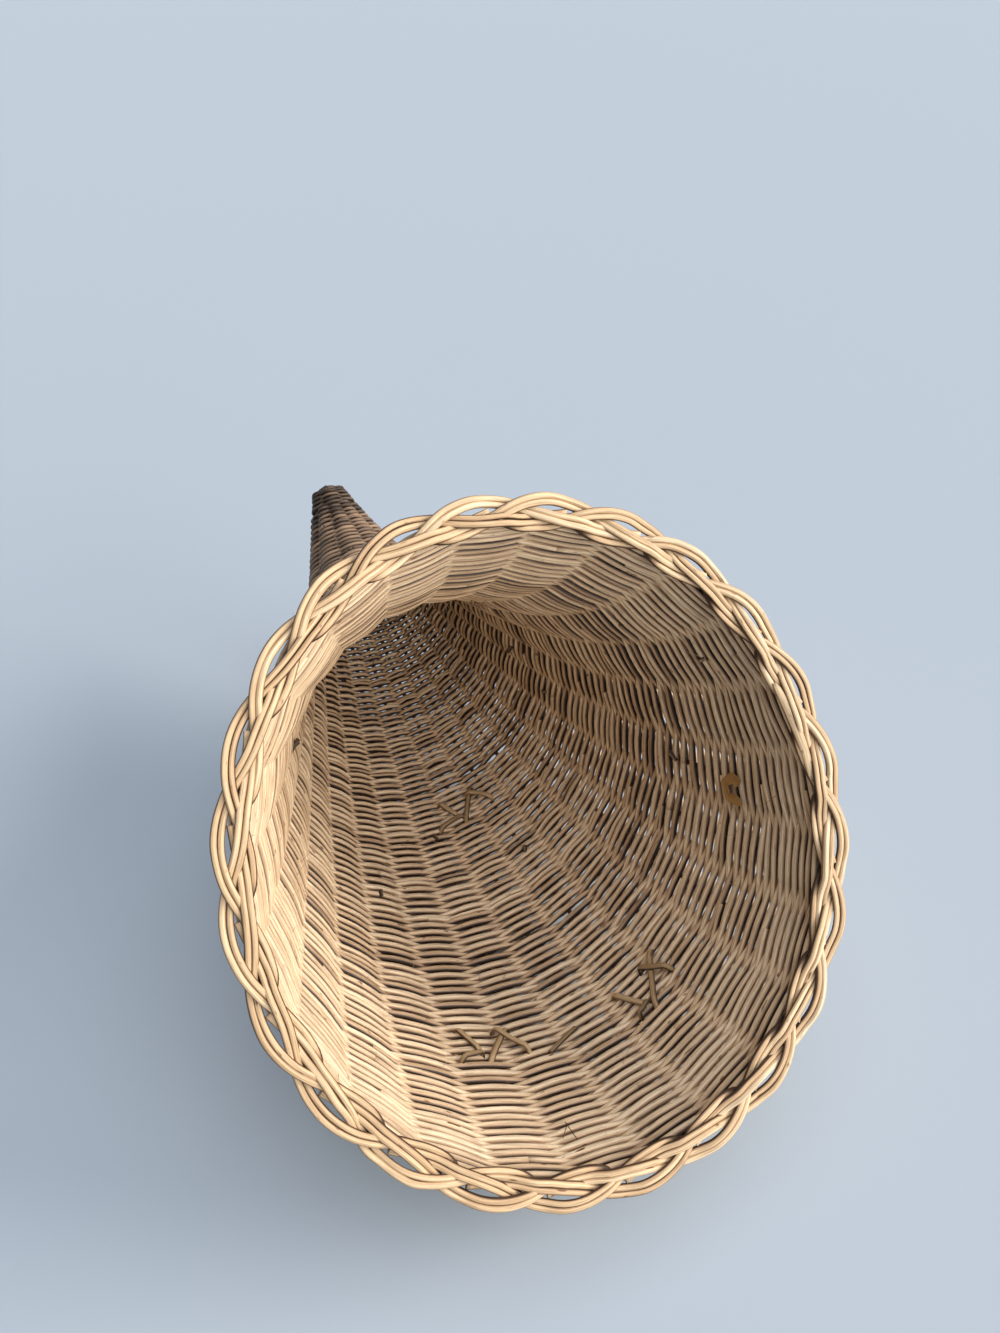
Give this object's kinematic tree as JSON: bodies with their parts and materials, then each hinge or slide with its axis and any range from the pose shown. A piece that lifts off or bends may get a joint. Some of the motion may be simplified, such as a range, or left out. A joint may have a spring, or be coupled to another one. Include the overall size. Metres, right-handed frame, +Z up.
{
  "type": "cornucopia basket",
  "caption": "Curved horn-shaped wicker basket with a wide oval mouth, a plaited border, a blunt closed tail and low bent-cane feet.",
  "frame": {"origin": "on the table, below the middle of the basket's length, in its plane of symmetry", "axes": "+Z up; the mouth opens towards -Y and upwards, the tail points towards +Y; X runs across the mouth"},
  "size_m": [0.2813, 0.479, 0.2904],
  "materials": {
    "cane": "natural straw-coloured round cane, unvarnished, satin",
    "weave": "natural tan round cane, plain weave, unvarnished, satin",
    "foot": "thicker round cane, bent, unvarnished, satin",
    "tie": "dark brown round cane, unvarnished, satin"
  },
  "bodies": {
    "root": {"stake_01": "cane", "stake_02": "cane", "stake_03": "cane", "stake_04": "cane", "stake_05": "cane", "stake_06": "cane", "stake_07": "cane", "stake_08": "cane", "stake_09": "cane", "stake_10": "cane", "stake_11": "cane", "stake_12": "cane", "stake_13": "cane", "stake_14": "cane", "stake_15": "cane", "stake_16": "cane", "stake_17": "cane", "stake_18": "cane", "stake_19": "cane", "stake_20": "cane", "stake_21": "cane", "stake_22": "cane", "stake_23": "cane", "stake_24": "cane", "mouth_weave": "weave", "middle_weave": "weave", "rear_weave": "weave", "tail_weave": "weave", "tip_weave": "weave", "foot_front_left": "foot", "foot_front_right": "foot", "foot_rear": "foot", "tie_front_left": "tie", "tie_front_right": "tie", "tie_rear": "tie"}
  },
  "joints": []
}
